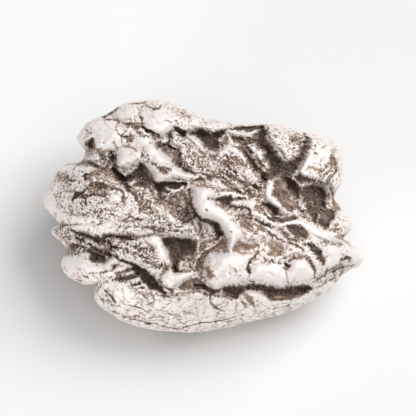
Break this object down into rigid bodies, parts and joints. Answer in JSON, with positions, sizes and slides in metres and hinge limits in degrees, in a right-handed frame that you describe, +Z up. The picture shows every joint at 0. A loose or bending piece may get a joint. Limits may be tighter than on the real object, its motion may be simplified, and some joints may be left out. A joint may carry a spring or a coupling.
{
  "type": "iron meteorite",
  "caption": "Palm-sized lump of nickel-iron with a deeply sculpted face of smooth ridges and rusty hollows, resting on a flat underside.",
  "frame": {"origin": "centre of the bounding box's base, on the surface that the lump rests on", "axes": "+X along the lump's length, +Z up from the surface it rests on, and the sculpted face looks up and leans to -Y"},
  "size_m": [0.0402, 0.0282, 0.0197],
  "materials": {
    "nickel_iron": "bare metal burnished silvery white on the raised ridges, tan to dark brown oxide in the hollows"
  },
  "bodies": {
    "root": {"iron_meteorite": "nickel_iron"}
  },
  "joints": []
}
